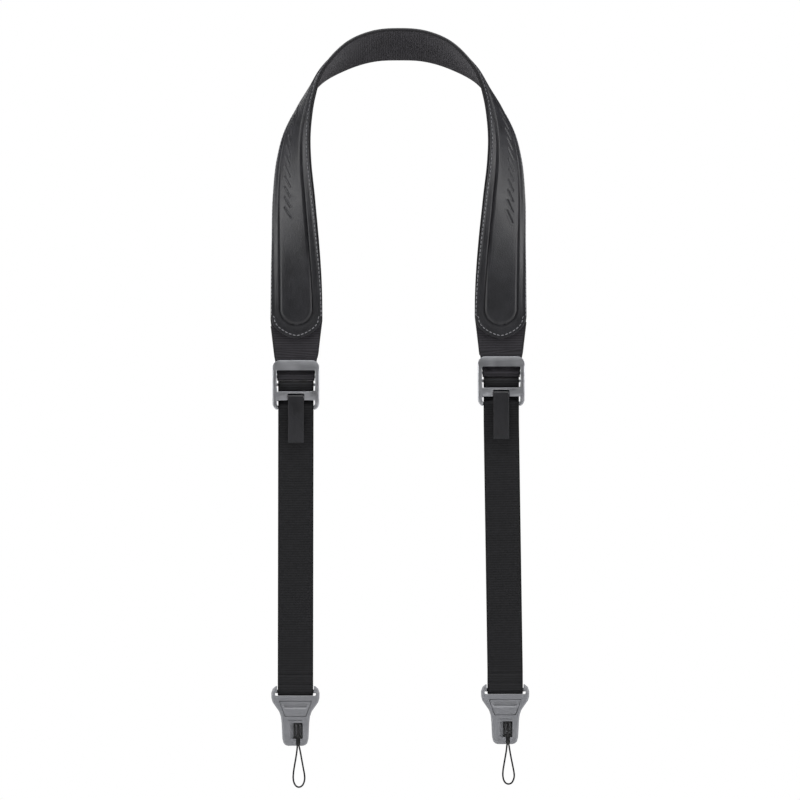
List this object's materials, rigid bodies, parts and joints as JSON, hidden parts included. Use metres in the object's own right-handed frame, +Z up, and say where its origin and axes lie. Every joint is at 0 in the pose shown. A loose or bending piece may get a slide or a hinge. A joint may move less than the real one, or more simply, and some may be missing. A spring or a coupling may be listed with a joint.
{
  "type": "camera neck strap",
  "caption": "Padded leather-faced neck strap on webbing, with ladder buckles, pull tabs, adjustable legs, and press-button end fittings that hold thin cord loops.",
  "frame": {"origin": "middle of the shoulder band's underside at the nape, where the strap rests on the back of the neck", "axes": "+Z up, the front of the strap towards -Y, +X to the right as seen from the front"},
  "size_m": [0.1812, 0.0646, 0.5326],
  "materials": {
    "leather": "smooth charcoal leather, pressed and stitched",
    "webbing": "ribbed woven nylon webbing",
    "narrow_webbing": "ribbed woven nylon webbing",
    "aluminium": "bead-blasted grey anodised aluminium",
    "grey_fitting": "satin grey moulding",
    "black_plastic": "satin black moulding",
    "cord": "braided thin cord"
  },
  "bodies": {
    "strap": {"shoulder_webbing": "webbing", "shoulder_pad": "leather", "buckle_frame_left": "aluminium", "pull_tab_left": "leather", "narrow_webbing_left": "narrow_webbing", "end_fitting_left": "grey_fitting", "cord_anchor_left": "black_plastic", "cord_loop_left": "cord", "buckle_frame_right": "aluminium", "pull_tab_right": "leather", "narrow_webbing_right": "narrow_webbing", "end_fitting_right": "grey_fitting", "cord_anchor_right": "black_plastic", "cord_loop_right": "cord"},
    "button_left": {"release_button_left": "grey_fitting"},
    "button_right": {"release_button_right": "grey_fitting"}
  },
  "joints": [
    {"name": "button_left_press", "type": "slide", "parent": "strap", "child": "button_left", "axis": [0, 1, 0], "range_m": [0, 0.0008], "stiffness_N_per_m": 400},
    {"name": "button_right_press", "type": "slide", "parent": "strap", "child": "button_right", "axis": [0, 1, 0], "range_m": [0, 0.0008], "stiffness_N_per_m": 400}
  ]
}
